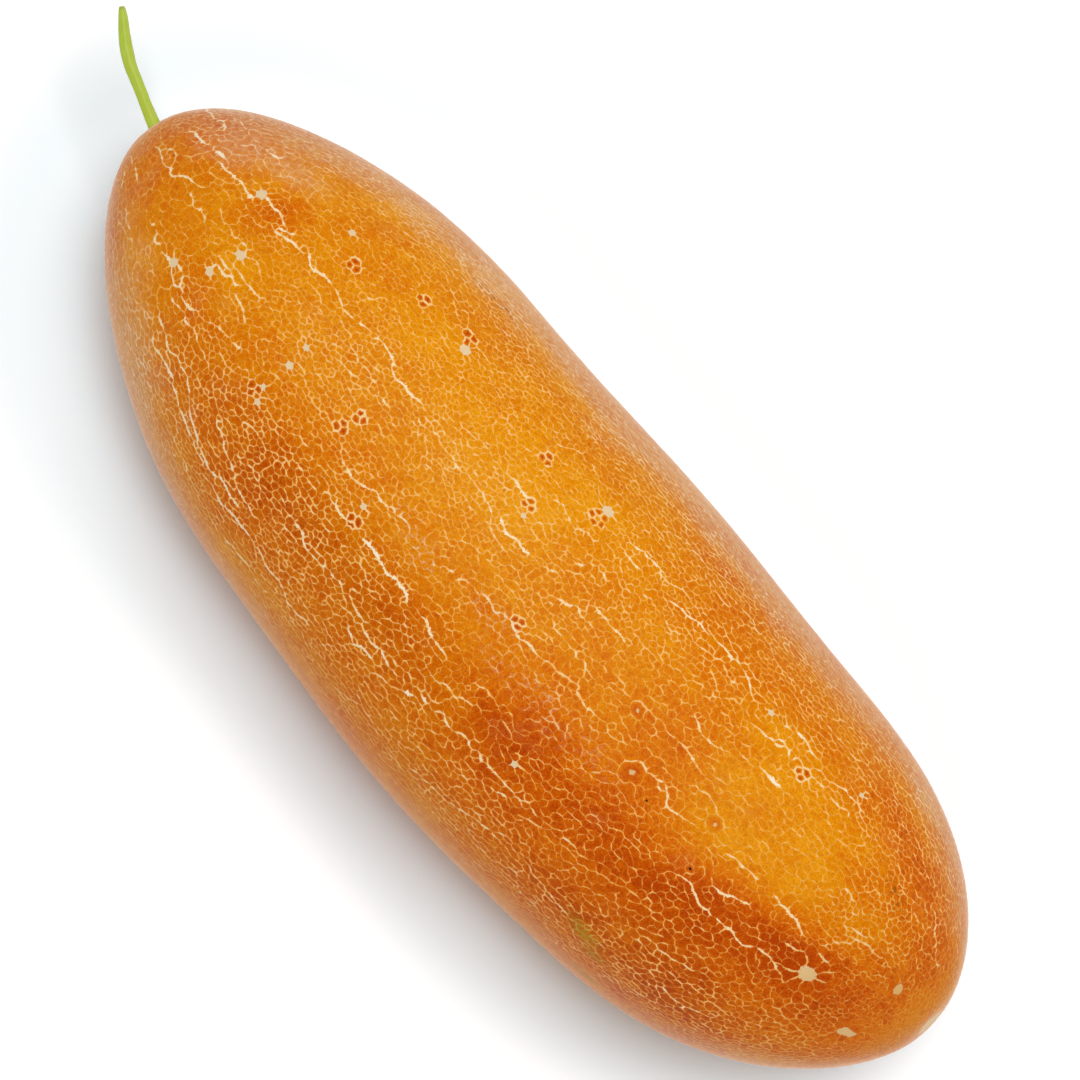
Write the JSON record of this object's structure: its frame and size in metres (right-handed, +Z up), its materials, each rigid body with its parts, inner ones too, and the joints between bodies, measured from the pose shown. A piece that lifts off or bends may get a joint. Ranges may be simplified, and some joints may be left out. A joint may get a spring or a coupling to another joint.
{
  "type": "ripe netted cucumber",
  "caption": "Whole over-ripe cucumber lying on its side, with a blunt blossom end, a tapered stem end, a fine cork net over golden-orange skin and a short thin stalk.",
  "frame": {"origin": "under the middle of the object's box, on the surface that the flat of its underside rests on", "axes": "+X along the fruit from its stem end to its blossom end; +Z up; +Y to the side that both ends swing towards"},
  "size_m": [0.2514, 0.084, 0.0796],
  "materials": {
    "fruit_skin": "satin golden-orange skin under a raised cream cork net",
    "stem_skin": "smooth, faintly ribbed yellow-green stalk"
  },
  "bodies": {
    "root": {"fruit": "fruit_skin", "stem": "stem_skin"}
  },
  "joints": []
}
